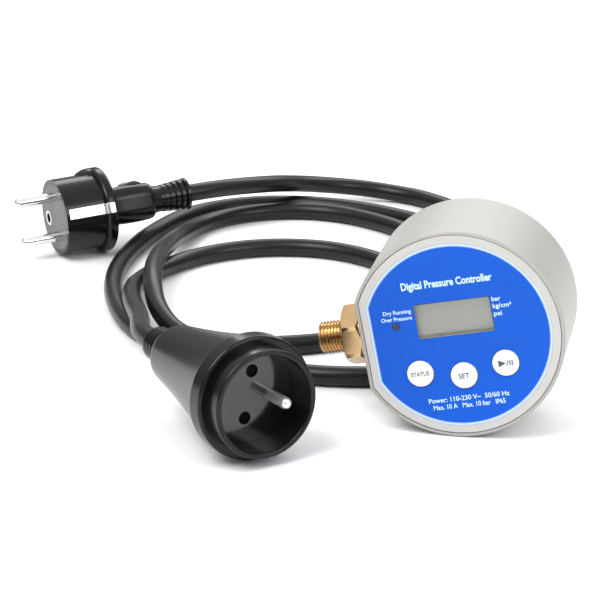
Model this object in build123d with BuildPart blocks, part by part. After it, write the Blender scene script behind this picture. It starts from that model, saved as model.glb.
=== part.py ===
import os
from math import cos, radians, sin, tan

from build123d import *

os.makedirs("parts", exist_ok=True)

# Driving dimensions of the case, in millimetres
case_radius = 42.5
case_depth = 50.0
case_wall = 2.5
rear_wall = 3.0
flat_depth = 4.0
case_roll = 11.0
lip_width = 1.4
rear_edge_round = 2.5
rim_edge_round = 0.8

# Front cover, label and seal
cover_thickness = 3.0
cover_gap = 0.2
gasket_thickness = 0.6
label_margin = 5.0
label_flat_margin = 4.4
label_thickness = 0.4
label_gap = 0.1

# Display, behind a clear window
window_width = 30.0
window_height = 14.0
window_corner = 1.0
window_rise = 7.3
window_gap = 0.2
window_flange = 1.5
window_flange_thickness = 1.0
glass_width = 36.0
glass_height = 19.0
glass_thickness = 2.5
display_gap = 0.3
holder_thickness = 3.2
holder_border = 1.5
holder_gap = 0.15

# Keys with their push switches
key_diameter = 10.6
key_gap = 0.3
key_rise = 0.8
key_flange_diameter = 13.0
key_flange_thickness = 1.0
key_stem_diameter = 3.4
key_places = {"left": (-17.2, -13.9), "middle": (0.0, -16.6), "right": (17.2, -13.4)}
key_edge_round = 0.5
switch_side = 6.2
switch_height = 3.5
plunger_diameter = 3.4
plunger_rise = 1.1
plunger_guide = 1.5
plunger_gap = 0.15
switch_well = 2.6

# Status light beside the display
lamp_place = (-23.4, 6.4)
lamp_diameter = 3.0
lamp_gap = 0.15
lamp_height = 4.0
light_pipe_flange = 4.4
light_pipe_flange_thickness = 0.8

# Boards
board_thickness = 1.6
control_board_inset = 6.0
control_board_clearance = 0.7
power_board_width = 48.0
power_board_height = 49.0
power_board_rise = 11.5
pillar_diameter = 6.0
pillar_rise = 12.0
pillar_inset = 4.0
lower_pillar_x = -8.0
lower_pillar_inset = 3.0
post_diameter = 5.6
post_places = ((-14.0, 24.0), (14.0, 24.0), (-9.0, -25.0), (9.0, -25.0))
board_screw_diameter = 2.5
board_screw_head = 5.0
board_screw_head_height = 1.8
board_screw_length = 6.0
screw_gap = 0.2
thread_gap = 0.05
board_gap = 0.5
board_corner = 2.0

# Parts on the power board
relay_size = (29.0, 12.8, 15.4)
relay_place = (2.0, 12.0)
relay_edge = 0.5
capacitor_diameter = 12.5
capacitor_height = 15.0
capacitor_edge = 1.0
capacitor_place = (12.0, -3.0)
transformer_size = (15.0, 13.0, 13.5)
transformer_flange = 2.0
transformer_waist = 2.0
transformer_place = (-12.0, -2.5)
terminal_size = (12.6, 8.0, 10.0)
terminal_places = ((-17.0, -15.5), (4.0, -16.0))
terminal_way_diameter = 3.4
header_size = (17.8, 2.6)
header_inset = 1.9
header_base = 2.5
pin_side = 0.6
pin_pitch = 2.54
pin_count = 7

# Screws that hold the cover, reached from the rear
cover_screw_inset = 6.0
cover_screw_diameter = 3.0
cover_screw_length = 12.0
cover_screw_head = 5.6
cover_screw_head_height = 2.2
boss_diameter = 9.0
screw_seat_thickness = 4.0
cover_boss_height = 8.0

# Pressure port, a brass G1/4 fitting with its sensor
port_depth = 18.0
thread_diameter = 13.16
thread_length = 10.5
thread_root = 11.4
thread_undercut = 1.4
thread_chamfer = 0.9
port_bore = 5.0
hex_width = 22.0
hex_turn = 30.0
hex_chamfer = 1.2
hex_length = 7.5
port_collar_diameter = 23.0
port_collar_length = 1.0
shank_diameter = 16.0
shank_length = 8.0
shank_gap = 0.15
port_nut_width = 21.0
port_nut_length = 4.5
seal_thickness = 1.0
seal_diameter = 22.4
sensor_diameter = 11.6
sensor_length = 7.0
sensor_seat = 1.5
sensor_edge = 1.0

# Cable glands in the rear wall
gland_spacing = 19.0
gland_screw_offset = (7.0, 11.0)
gland_flange_diameter = 16.0
gland_flange_thickness = 3.0
gland_tip_diameter = 11.6
gland_length = 14.0
gland_neck_diameter = 10.6
gland_neck_gap = 0.15
gland_inner_length = 6.0
gland_nut_width = 14.0
gland_nut_length = 4.0
gland_ring_count = 3
gland_ring_depth = 0.8

# Cords, chosen points counted from the floor spot below the middle of the case
cord_diameter = 8.6
supply_route = [
    (4.5, 96, 13), (4, 134, 4.6), (-3, 176, 4.3), (-20, 218, 4.3), (-56, 252, 4.3),
    (-101, 272, 4.3), (-143, 270, 4.3), (-174, 246, 4.3), (-185.5, 208, 4.3), (-188.5, 166, 4.3),
    (-184, 128, 4.3), (-171.5, 91, 4.3), (-155, 62, 4.3), (-130, 41, 4.3), (-97, 26, 4.3),
    (-64, 20.5, 4.3), (-32, 27, 4.3), (-1, 36, 4.3), (17, 62, 4.3), (21, 102, 4.3), (20, 146, 4.3),
    (13, 190, 4.3), (-6, 232, 4.3), (-33, 268, 4.3), (-62, 294, 4.3), (-77, 300, 4.4),
    (-94, 300, 6.2), (-110, 293, 8.9), (-124, 279, 13), (-135, 252, 19.9),
]
outlet_route = [
    (-16.5, 96, 12), (-19, 134, 4.6), (-29, 178, 4.3), (-46, 218, 4.3),
    (-74, 246.5, 4.3), (-108, 262, 4.3), (-141, 254.5, 4.3), (-163, 232, 4.3), (-168.5, 198, 6.5),
    (-165.5, 160, 13.2), (-162.5, 126, 16.4), (-156.5, 98, 15.8), (-148, 75, 9.6), (-133, 58, 4.3),
    (-108, 50.5, 4.3), (-79, 57, 4.3), (-50, 77, 4.3), (-31, 108, 4.3), (-36, 146, 4.3),
    (-58, 178, 4.3), (-90, 198, 4.3), (-124, 196, 4.3), (-151, 178, 4.3), (-166.5, 150, 4.4),
    (-169.5, 122, 7), (-166, 97, 10.8), (-159, 73, 13.8), (-149, 49, 15.4), (-144.5, 33, 17.8),
]
bend_share = 0.45
cord_lead = 16.0

# Mains plug of the supply cord
plug_place = (-224.5, 172.8)
plug_azimuth = -53.0
plug_elevation = -2.7
plug_turn = 17.4
plug_radius = 18.3
plug_front_length = 20.0
plug_collar_radius = 20.8
plug_collar_length = 5.5
plug_handle_width = 24.0
plug_handle_height = 18.6
plug_handle_end = 49.0
plug_handle_corner = 6.5
plug_handle_round = 3.0
thumb_depth = 40.0
thumb_radius = 6.0
thumb_rise = 1.5
thumb_width = 13.0
plug_collar_round = 1.8
plug_neck_radius = 6.4
plug_neck_base_radius = 7.6
plug_neck_base_end = 54.0
plug_end_radius = 8.0
plug_length = 69.0
plug_ring_count = 5
plug_ring_pitch = 3.0
plug_ring_width = 1.5
plug_face_radius = 16.2
plug_face_depth = 6.0
pin_spacing = 19.0
pin_diameter = 4.8
pin_length = 19.0
earth_offset = 10.0
earth_sleeve_diameter = 7.2
earth_sleeve_bore = 5.0
earth_sleeve_depth = 15.0
pin_root = 8.0
pin_tip_round = 2.16
pin_root_diameter = 4.0
part_gap = 0.1
clip_width = 5.0
clip_thickness = 0.8
clip_length = 18.0
clip_front = 1.5

# Trailing socket of the outlet cord
socket_place = (-66.2, -71.25)
socket_azimuth = 41.5
socket_elevation = 2.0
socket_turn = -11.2
socket_rim_radius = 21.8
socket_recess_radius = 19.5
socket_recess_depth = 15.0
socket_rim_length = 8.6
socket_collar_radius = 25.0
socket_collar_length = 8.4
socket_collar_round = 1.2
socket_rim_round = 0.8
socket_shoulder_round = 3.0
socket_back_radius = 23.6
socket_waist_radius = 17.3
socket_waist_depth = 46.0
socket_shoulder_radius = 12.4
socket_shoulder_end = 76.0
socket_neck_radius = 6.3
socket_ring_radius = 7.2
socket_ring_growth = 0.35
socket_ring_count = 5
socket_ring_pitch = 3.1
socket_ring_width = 1.7
socket_length = 92.0
socket_insert_thickness = 3.0
socket_core_radius = 15.0
socket_core_length = 17.0
socket_hole_diameter = 5.2
contact_wall = 0.6
contact_length = 16.0
contact_setback = 1.5
socket_pin_rise = 14.0

# Sizes that follow from those above
flat_distance = case_radius - flat_depth
cavity_radius = case_radius - case_wall
cavity_flat = flat_distance - case_wall
mouth_radius = case_radius - lip_width
mouth_flat = flat_distance - lip_width
label_radius = case_radius - label_margin
label_flat = flat_distance - label_flat_margin
control_board_radius = cavity_radius - control_board_inset
control_board_flat = flat_distance - shank_length - control_board_clearance
cover_screw_circle = cavity_radius - cover_screw_inset
screw_offset = cover_screw_circle * cos(radians(45))
screw_places = [(x * screw_offset, y * screw_offset) for x in (-1, 1) for y in (-1, 1)]
outlet_x = gland_screw_offset[0] - screw_offset
gland_y = gland_screw_offset[1] - screw_offset
gland_places = {"supply": (outlet_x + gland_spacing, gland_y), "outlet": (outlet_x, gland_y)}
pillar_x = power_board_width / 2 - pillar_inset
pillar_places = (
    (-pillar_x, pillar_rise),
    (pillar_x, pillar_rise),
    (pillar_x, -pillar_rise),
    (lower_pillar_x, lower_pillar_inset - power_board_height / 2),
)
header_place = (0, power_board_height / 2 - header_inset)

# The rigid device, without its cords, stands centred over the origin
port_z = case_depth / 2 - port_depth
port_collar_start = flat_distance + seal_thickness
port_hex_start = port_collar_start + port_collar_length
port_tip = port_hex_start + hex_length + thread_length
case_left = port_tip * cos(radians(case_roll)) + thread_diameter / 2 * sin(radians(case_roll))
case_x = (case_left - case_radius) / 2
case_front = case_depth / 2 + key_rise
case_rear = case_depth / 2 + gland_length
case_y = (case_front - case_rear) / 2

# Case plane: x to the right along the print, y up, z out of the front
roll_vector = (cos(radians(case_roll)), 0, sin(radians(case_roll)))
case = Plane(origin=(case_x, case_y, case_radius), x_dir=roll_vector, z_dir=(0, -1, 0))
port = Plane(
    origin=case.from_local_coords((0, 0, port_z)),
    x_dir=(0, -1, 0),
    z_dir=(-roll_vector[0], 0, -roll_vector[2]),
)

# Stations along the depth of the case
front_z = case_depth / 2
rear_z = -case_depth / 2
rear_inside = rear_z + rear_wall
cover_back = front_z - cover_thickness
ledge_z = cover_back - gasket_thickness
label_seat = front_z - label_thickness
pane_back = cover_back - window_flange_thickness
glass_front = pane_back - display_gap
glass_back = glass_front - glass_thickness
control_top = glass_back - holder_thickness
control_back = control_top - board_thickness
key_flange_top = cover_back - key_gap
key_flange_back = key_flange_top - key_flange_thickness
switch_top = control_top + switch_height
plunger_top = switch_top + plunger_rise
power_back = rear_inside + power_board_rise
power_top = power_back + board_thickness
cover_boss_end = cover_back - cover_boss_height


def d_disc(radius, flat):
    """Circle with a flat cut on its left."""
    Circle(radius)
    with Locations((-flat - radius, 0)):
        Rectangle(2 * radius, 2 * radius, mode=Mode.SUBTRACT)


def facing(place, height, azimuth, elevation, turn):
    """Plane whose z looks the given way over the floor, turned about it."""
    az = radians(azimuth)
    el = radians(elevation)
    normal = Vector(sin(az) * cos(el), -cos(az) * cos(el), sin(el))
    level = Vector(cos(az), sin(az), 0)
    return Plane(
        origin=(place[0] + case_x, place[1] + case_y, height),
        x_dir=level.rotate(Axis((0, 0, 0), normal), turn),
        z_dir=normal,
    )


def save(piece, name):
    """Label one finished piece and write it."""
    piece.label = name
    export_step(piece, f"parts/{name}.step")


# Housing: a deep cup with a flat on one side
with BuildPart() as housing:
    with BuildSketch(case.offset(rear_z)):
        d_disc(case_radius, flat_distance)
    extrude(amount=case_depth)
    fillet(housing.faces().sort_by(Axis.Y)[-1].edges(), rear_edge_round)
    fillet(housing.faces().sort_by(Axis.Y)[0].edges(), rim_edge_round)
    with BuildSketch(case.offset(rear_inside)):
        d_disc(cavity_radius, cavity_flat)
    extrude(amount=case_depth, mode=Mode.SUBTRACT)
    with BuildSketch(case.offset(ledge_z)):
        d_disc(mouth_radius, mouth_flat)
    extrude(amount=case_depth, mode=Mode.SUBTRACT)
    with BuildSketch(case.offset(rear_inside)):
        with Locations(*screw_places):
            Circle(boss_diameter / 2)
    extrude(amount=cover_boss_end - rear_inside)
    with BuildSketch(case.offset(rear_inside)):
        with Locations(*pillar_places):
            Circle(pillar_diameter / 2)
    extrude(amount=power_board_rise)
    with BuildSketch(case.offset(rear_z)):
        with Locations(*screw_places):
            Circle(cover_screw_head / 2 + screw_gap)
    extrude(amount=cover_boss_end - screw_seat_thickness - rear_z, mode=Mode.SUBTRACT)
    with BuildSketch(case.offset(rear_z)):
        with Locations(*screw_places):
            Circle(cover_screw_diameter / 2 + screw_gap)
    extrude(amount=case_depth, mode=Mode.SUBTRACT)
    with BuildSketch(case.offset(power_back)):
        with Locations(*pillar_places):
            Circle(board_screw_diameter / 2)
    extrude(amount=-board_screw_length - screw_gap, mode=Mode.SUBTRACT)
    with BuildSketch(port.offset(flat_distance)):
        Circle(shank_diameter / 2 + shank_gap)
    extrude(amount=-case_wall, mode=Mode.SUBTRACT)
    with BuildSketch(case.offset(rear_z)):
        with Locations(*gland_places.values()):
            Circle(gland_neck_diameter / 2 + gland_neck_gap)
    extrude(amount=rear_wall, mode=Mode.SUBTRACT)
save(housing.part, "housing")

# Front cover: a plate in the mouth of the case, with screw bosses and posts behind it
with BuildPart() as front_cover:
    with BuildSketch(case.offset(cover_back)):
        d_disc(mouth_radius - cover_gap, mouth_flat - cover_gap)
    extrude(amount=cover_thickness)
    fillet(front_cover.faces().sort_by(Axis.Y)[0].edges(), rim_edge_round / 2)
    with BuildSketch(case.offset(cover_boss_end)):
        with Locations(*screw_places):
            Circle(boss_diameter / 2)
    extrude(amount=cover_boss_height)
    with BuildSketch(case.offset(control_top)):
        with Locations(*post_places):
            Circle(post_diameter / 2)
    extrude(amount=cover_back - control_top)
    with BuildSketch(case.offset(label_seat)):
        d_disc(label_radius + label_gap, label_flat + label_gap)
    extrude(amount=label_thickness, mode=Mode.SUBTRACT)
    with BuildSketch(case.offset(cover_back)):
        with Locations((0, window_rise)):
            RectangleRounded(window_width + 2 * window_gap, window_height + 2 * window_gap, window_corner)
        with Locations(*key_places.values()):
            Circle(key_diameter / 2 + key_gap)
        with Locations(lamp_place):
            Circle(lamp_diameter / 2 + lamp_gap)
    extrude(amount=cover_thickness, mode=Mode.SUBTRACT)
    with BuildSketch(case.offset(cover_boss_end)):
        with Locations(*screw_places):
            Circle(cover_screw_diameter / 2 + thread_gap)
    extrude(amount=cover_boss_height, mode=Mode.SUBTRACT)
    with BuildSketch(case.offset(control_top)):
        with Locations(*post_places):
            Circle(board_screw_diameter / 2 + thread_gap)
    extrude(amount=board_screw_length - board_thickness + screw_gap, mode=Mode.SUBTRACT)
save(front_cover.part, "front_cover")

# Flat gasket between the cover and its ledge
with BuildPart() as cover_gasket:
    with BuildSketch(case.offset(ledge_z)):
        d_disc(mouth_radius - cover_gap, mouth_flat - cover_gap)
        with BuildSketch(mode=Mode.SUBTRACT):
            d_disc(cavity_radius, cavity_flat)
    extrude(amount=gasket_thickness)
save(cover_gasket.part, "cover_gasket")

# Printed label let into the cover, open at the window, keys and lamp
with BuildPart() as front_label:
    with BuildSketch(case.offset(label_seat)):
        d_disc(label_radius, label_flat)
        with Locations((0, window_rise)):
            RectangleRounded(
                window_width + 2 * window_gap,
                window_height + 2 * window_gap,
                window_corner,
                mode=Mode.SUBTRACT,
            )
        with Locations(*key_places.values()):
            Circle(key_diameter / 2 + key_gap, mode=Mode.SUBTRACT)
        with Locations(lamp_place):
            Circle(lamp_diameter / 2 + lamp_gap, mode=Mode.SUBTRACT)
    extrude(amount=label_thickness)
save(front_label.part, "front_label")

# Clear window with a flange behind the cover
with BuildPart() as display_window:
    with BuildSketch(case.offset(pane_back)):
        with Locations((0, window_rise)):
            Rectangle(window_width + 2 * window_flange, window_height + 2 * window_flange)
    extrude(amount=window_flange_thickness)
    with BuildSketch(case.offset(cover_back)):
        with Locations((0, window_rise)):
            RectangleRounded(window_width, window_height, window_corner)
    extrude(amount=cover_thickness)
save(display_window.part, "display_window")

# Display glass and the holder that stands it off the board
with BuildPart() as display_glass:
    with BuildSketch(case.offset(glass_back)):
        with Locations((0, window_rise)):
            Rectangle(glass_width, glass_height)
    extrude(amount=glass_thickness)
save(display_glass.part, "display_glass")

with BuildPart() as display_holder:
    with BuildSketch(case.offset(control_top)):
        with Locations((0, window_rise)):
            Rectangle(glass_width + 2 * holder_border, glass_height + 2 * holder_border)
    extrude(amount=holder_thickness + glass_thickness / 2)
    with BuildSketch(case.offset(glass_back)):
        with Locations((0, window_rise)):
            Rectangle(glass_width + 2 * holder_gap, glass_height + 2 * holder_gap)
    extrude(amount=glass_thickness, mode=Mode.SUBTRACT)
save(display_holder.part, "display_holder")

# Light pipe in the cover and the lamp below it
with BuildPart() as light_pipe:
    with BuildSketch(case.offset(cover_back - light_pipe_flange_thickness)):
        with Locations(lamp_place):
            Circle(light_pipe_flange / 2)
    extrude(amount=light_pipe_flange_thickness)
    with BuildSketch(case.offset(cover_back)):
        with Locations(lamp_place):
            Circle(lamp_diameter / 2)
    extrude(amount=cover_thickness)
save(light_pipe.part, "light_pipe")

with BuildPart() as status_lamp:
    with BuildSketch(case.offset(control_top)):
        with Locations(lamp_place):
            Circle(lamp_diameter / 2)
    extrude(amount=lamp_height)
    fillet(status_lamp.faces().sort_by(Axis.Y)[0].edges(), lamp_diameter * 0.4)
save(status_lamp.part, "status_lamp")

# Control board on the posts of the cover
with BuildPart() as control_board:
    with BuildSketch(case.offset(control_back)):
        d_disc(control_board_radius, control_board_flat)
        with Locations(*screw_places):
            Circle(boss_diameter / 2 + board_gap, mode=Mode.SUBTRACT)
        with Locations(*post_places):
            Circle(board_screw_diameter / 2 + screw_gap, mode=Mode.SUBTRACT)
    extrude(amount=board_thickness)
save(control_board.part, "control_board")

# Push switches on the control board
with BuildPart() as key_switches:
    with BuildSketch(case.offset(control_top)):
        with Locations(*key_places.values()):
            Rectangle(switch_side, switch_side)
    extrude(amount=switch_height)
    with BuildSketch(case.offset(switch_top)):
        with Locations(*key_places.values()):
            Circle(plunger_diameter / 2 + plunger_gap)
    extrude(amount=-switch_well, mode=Mode.SUBTRACT)
save(key_switches.part, "key_switches")

# Each key is a cap with a retaining flange and a stem, over the plunger of its switch
for key_name, key_place in key_places.items():
    with BuildPart() as key:
        with BuildSketch(case.offset(key_flange_back)):
            with Locations(key_place):
                Circle(key_diameter / 2)
        extrude(amount=front_z + key_rise - key_flange_back)
        fillet(key.faces().sort_by(Axis.Y)[0].edges(), key_edge_round)
        with BuildSketch(case.offset(key_flange_back)):
            with Locations(key_place):
                Circle(key_flange_diameter / 2)
        extrude(amount=key_flange_thickness)
        with BuildSketch(case.offset(plunger_top)):
            with Locations(key_place):
                Circle(key_stem_diameter / 2)
        extrude(amount=key_flange_back - plunger_top)
    save(key.part, f"key_{key_name}")

    with BuildPart() as plunger:
        with BuildSketch(case.offset(plunger_top)):
            with Locations(key_place):
                Circle(plunger_diameter / 2)
        extrude(amount=-plunger_rise - plunger_guide)
    save(plunger.part, f"plunger_{key_name}")

# Power board on the pillars of the case, with its parts
with BuildPart() as power_board:
    with BuildSketch(case.offset(power_back)):
        RectangleRounded(power_board_width, power_board_height, board_corner)
        with Locations(*screw_places):
            Circle(boss_diameter / 2 + board_gap, mode=Mode.SUBTRACT)
        with Locations(*pillar_places):
            Circle(board_screw_diameter / 2 + screw_gap, mode=Mode.SUBTRACT)
    extrude(amount=board_thickness)
save(power_board.part, "power_board")

with BuildPart() as relay:
    with BuildSketch(case.offset(power_top)):
        with Locations(relay_place):
            Rectangle(relay_size[0], relay_size[1])
    extrude(amount=relay_size[2])
    chamfer(relay.faces().sort_by(Axis.Y)[0].edges(), relay_edge)
save(relay.part, "relay")

with BuildPart() as transformer:
    with BuildSketch(case.offset(power_top)):
        with Locations(transformer_place):
            Rectangle(transformer_size[0], transformer_size[1])
    extrude(amount=transformer_size[2])
    with BuildSketch(case.offset(power_top + transformer_flange)):
        with Locations(transformer_place):
            Rectangle(transformer_size[0], transformer_size[1])
            Rectangle(transformer_size[0], transformer_size[1] - 2 * transformer_waist, mode=Mode.SUBTRACT)
    extrude(amount=transformer_size[2] - 2 * transformer_flange, mode=Mode.SUBTRACT)
save(transformer.part, "transformer")

with BuildPart() as capacitor:
    with BuildSketch(case.offset(power_top)):
        with Locations(capacitor_place):
            Circle(capacitor_diameter / 2)
    extrude(amount=capacitor_height)
    fillet(capacitor.faces().sort_by(Axis.Y)[0].edges(), capacitor_edge)
save(capacitor.part, "capacitor")

terminal_way_pitch = terminal_size[0] / 3
with BuildPart() as terminals:
    with BuildSketch(case.offset(power_top)):
        with Locations(*terminal_places):
            Rectangle(terminal_size[0], terminal_size[1])
    extrude(amount=terminal_size[2])
    for terminal_place in terminal_places:
        with BuildSketch(case.offset(power_top + terminal_size[2])):
            with Locations(terminal_place):
                with GridLocations(terminal_way_pitch, 1, 3, 1):
                    Circle(terminal_way_diameter / 2)
        extrude(amount=-terminal_size[2] / 2, mode=Mode.SUBTRACT)
save(terminals.part, "terminals")

# Pin header that joins the two boards
with BuildPart() as board_header:
    with BuildSketch(case.offset(power_top)):
        with Locations(header_place):
            Rectangle(header_size[0], header_size[1])
    extrude(amount=header_base)
    with BuildSketch(case.offset(power_top + header_base)):
        with Locations(header_place):
            with GridLocations(pin_pitch, 1, pin_count, 1):
                Rectangle(pin_side, pin_side)
    extrude(amount=control_back - power_top - header_base)
save(board_header.part, "board_header")

# Screws of both boards
with BuildPart() as board_screws:
    with BuildSketch(case.offset(power_top)):
        with Locations(*pillar_places):
            Circle(board_screw_head / 2)
    extrude(amount=board_screw_head_height)
    with BuildSketch(case.offset(power_top)):
        with Locations(*pillar_places):
            Circle(board_screw_diameter / 2)
    extrude(amount=-board_screw_length)
    with BuildSketch(case.offset(control_back)):
        with Locations(*post_places):
            Circle(board_screw_head / 2)
    extrude(amount=-board_screw_head_height)
    with BuildSketch(case.offset(control_back)):
        with Locations(*post_places):
            Circle(board_screw_diameter / 2)
    extrude(amount=board_screw_length)
save(board_screws.part, "board_screws")

# Cover screws, deep in the bosses of the case
screw_seat = cover_boss_end - screw_seat_thickness
with BuildPart() as cover_screws:
    with BuildSketch(case.offset(screw_seat)):
        with Locations(*screw_places):
            Circle(cover_screw_head / 2)
    extrude(amount=-cover_screw_head_height)
    with BuildSketch(case.offset(screw_seat)):
        with Locations(*screw_places):
            Circle(cover_screw_diameter / 2)
    extrude(amount=cover_screw_length - screw_gap)
save(cover_screws.part, "cover_screws")

# Brass fitting through the flat of the case
shank_end = flat_distance - shank_length
with BuildPart() as hexagon:
    with BuildSketch(port.offset(port_hex_start)):
        Circle(hex_width / 2 / cos(radians(30)) + part_gap)
    extrude(amount=hex_length)
    chamfer(hexagon.edges().filter_by(GeomType.CIRCLE), hex_chamfer)
    with BuildSketch(port.offset(port_hex_start)):
        RegularPolygon(hex_width / 2, 6, major_radius=False, rotation=hex_turn)
    extrude(amount=hex_length, mode=Mode.INTERSECT)

with BuildPart() as pipe_fitting:
    with BuildSketch(port.offset(shank_end)):
        Circle(shank_diameter / 2)
    extrude(amount=shank_length + seal_thickness)
    with BuildSketch(port.offset(port_collar_start)):
        Circle(port_collar_diameter / 2)
    extrude(amount=port_collar_length)
    add(hexagon.part)
    with BuildSketch(port.offset(port_hex_start + hex_length)):
        Circle(thread_root / 2)
    extrude(amount=thread_undercut)
    with BuildSketch(port.offset(port_hex_start + hex_length + thread_undercut)):
        Circle(thread_diameter / 2)
    extrude(amount=thread_length - thread_undercut)
    chamfer(pipe_fitting.faces().sort_by(Axis(port.origin, port.z_dir))[-1].edges(), thread_chamfer)
    with BuildSketch(port.offset(port_tip)):
        Circle(port_bore / 2)
    extrude(amount=shank_end - port_tip, mode=Mode.SUBTRACT)
    with BuildSketch(port.offset(shank_end)):
        Circle(sensor_diameter / 2 + thread_gap)
    extrude(amount=sensor_seat, mode=Mode.SUBTRACT)
save(pipe_fitting.part, "pipe_fitting")

with BuildPart() as port_seal:
    with BuildSketch(port.offset(flat_distance)):
        Circle(seal_diameter / 2)
        Circle(shank_diameter / 2 + shank_gap, mode=Mode.SUBTRACT)
    extrude(amount=seal_thickness)
save(port_seal.part, "port_seal")

with BuildPart() as port_nut:
    with BuildSketch(port.offset(cavity_flat)):
        RegularPolygon(port_nut_width / 2, 6, major_radius=False)
        Circle(shank_diameter / 2 + shank_gap, mode=Mode.SUBTRACT)
    extrude(amount=-port_nut_length)
save(port_nut.part, "port_nut")

with BuildPart() as pressure_sensor:
    with BuildSketch(port.offset(shank_end + sensor_seat)):
        Circle(sensor_diameter / 2)
    extrude(amount=-sensor_length)
    fillet(pressure_sensor.faces().sort_by(Axis(port.origin, port.z_dir))[0].edges(), sensor_edge)
save(pressure_sensor.part, "pressure_sensor")

# Cable glands moulded on the cords, with their nuts inside the rear wall
gland_taper = gland_length - gland_flange_thickness
for gland_name, gland_place in gland_places.items():
    with BuildPart() as gland:
        with BuildSketch(case.offset(rear_z)):
            with Locations(gland_place):
                Circle(gland_flange_diameter / 2)
        extrude(amount=-gland_flange_thickness)
        with BuildSketch(case.offset(rear_z - gland_flange_thickness)):
            with Locations(gland_place):
                Circle(gland_tip_diameter / 2 + gland_ring_depth)
        with BuildSketch(case.offset(rear_z - gland_length)):
            with Locations(gland_place):
                Circle(gland_tip_diameter / 2)
        loft()
        ring_pitch = gland_taper / (gland_ring_count + 1)
        for ring in range(gland_ring_count):
            with BuildSketch(case.offset(rear_z - gland_flange_thickness - ring_pitch * (ring + 0.6))):
                with Locations(gland_place):
                    Circle(gland_tip_diameter / 2 + 2 * gland_ring_depth)
                    Circle(gland_tip_diameter / 2 - gland_ring_depth / 2, mode=Mode.SUBTRACT)
            extrude(amount=-ring_pitch / 2, mode=Mode.SUBTRACT)
        with BuildSketch(case.offset(rear_z)):
            with Locations(gland_place):
                Circle(gland_neck_diameter / 2)
        extrude(amount=rear_wall + gland_inner_length)
    save(gland.part, f"{gland_name}_gland")

with BuildPart() as gland_nuts:
    with BuildSketch(case.offset(rear_inside)):
        with Locations(*gland_places.values()):
            RegularPolygon(gland_nut_width / 2, 6, major_radius=False)
            Circle(gland_neck_diameter / 2 + gland_neck_gap, mode=Mode.SUBTRACT)
    extrude(amount=gland_nut_length)
save(gland_nuts.part, "gland_nuts")

# Mains plug, from its face backwards
plug_height = (
    plug_collar_radius * cos(radians(plug_elevation)) + plug_front_length * sin(radians(plug_elevation))
)
plug = facing(plug_place, plug_height, plug_azimuth, plug_elevation, plug_turn)
plug_collar_end = plug_front_length + plug_collar_length
plug_handle_sections = (
    (plug_collar_end, 0.94),
    ((2 * plug_collar_end + plug_handle_end) / 3, 1.0),
    (plug_handle_end, 0.93),
)
pin_line = ((0, pin_spacing / 2), (0, -pin_spacing / 2))
clip_line = (((plug_radius - clip_thickness / 2), 0), (-(plug_radius - clip_thickness / 2), 0))
with BuildPart() as plug_body:
    with BuildSketch(plug):
        Circle(plug_radius)
    extrude(amount=-plug_front_length)
    with BuildSketch(plug.offset(-plug_front_length)):
        Circle(plug_collar_radius)
    extrude(amount=-plug_collar_length)
    fillet(plug_body.edges().filter_by(GeomType.CIRCLE).sort_by(SortBy.RADIUS)[-2:], plug_collar_round)
    for depth, share in plug_handle_sections:
        with BuildSketch(plug.offset(-depth)):
            RectangleRounded(plug_handle_width * share, plug_handle_height * share, plug_handle_corner * share)
    loft()
    fillet(plug_body.faces().sort_by(Axis(plug.origin, plug.z_dir))[0].edges(), plug_handle_round)
    with BuildSketch(plug.offset(-plug_handle_end + plug_handle_round)):
        Circle(plug_neck_base_radius)
    with BuildSketch(plug.offset(-plug_neck_base_end)):
        Circle(plug_neck_radius)
    loft()
    with BuildSketch(plug.offset(-plug_neck_base_end)):
        Circle(plug_neck_radius)
    extrude(amount=plug_neck_base_end - plug_length)
    thumb_height = plug_handle_height / 2 + thumb_rise - thumb_radius
    thumb_start = plug.from_local_coords((-thumb_width / 2, thumb_height, -thumb_depth))
    with BuildSketch(Plane(origin=thumb_start, x_dir=plug.z_dir, z_dir=plug.x_dir)):
        Circle(thumb_radius)
    extrude(amount=thumb_width)
    for ring in range(plug_ring_count):
        ring_radius = plug_neck_radius + (plug_end_radius - plug_neck_radius) * (ring + 1) / plug_ring_count
        ring_start = plug_length - plug_ring_pitch * (plug_ring_count - 1 - ring) - plug_ring_width
        with BuildSketch(plug.offset(-ring_start)):
            Circle(ring_radius)
        extrude(amount=-plug_ring_width)
    with BuildSketch(plug):
        Circle(plug_face_radius + part_gap)
    extrude(amount=-plug_face_depth, mode=Mode.SUBTRACT)
    with BuildSketch(plug):
        with Locations((-earth_offset, 0)):
            Circle(earth_sleeve_diameter / 2 + part_gap)
    extrude(amount=-earth_sleeve_depth, mode=Mode.SUBTRACT)
    with BuildSketch(plug):
        with Locations(*pin_line):
            Circle(pin_root_diameter / 2 + part_gap)
    extrude(amount=-pin_root, mode=Mode.SUBTRACT)
    with BuildSketch(plug.offset(-clip_front)):
        with Locations(*clip_line):
            Rectangle(clip_thickness + 2 * part_gap, clip_width + 2 * part_gap)
    extrude(amount=-clip_length, mode=Mode.SUBTRACT)
save(plug_body.part, "plug_body")

with BuildPart() as plug_face:
    with BuildSketch(plug):
        Circle(plug_face_radius)
        with Locations(*pin_line):
            Circle(pin_root_diameter / 2 + part_gap, mode=Mode.SUBTRACT)
        with Locations((-earth_offset, 0)):
            Circle(earth_sleeve_diameter / 2 + part_gap, mode=Mode.SUBTRACT)
    extrude(amount=-plug_face_depth)
save(plug_face.part, "plug_face")

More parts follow.
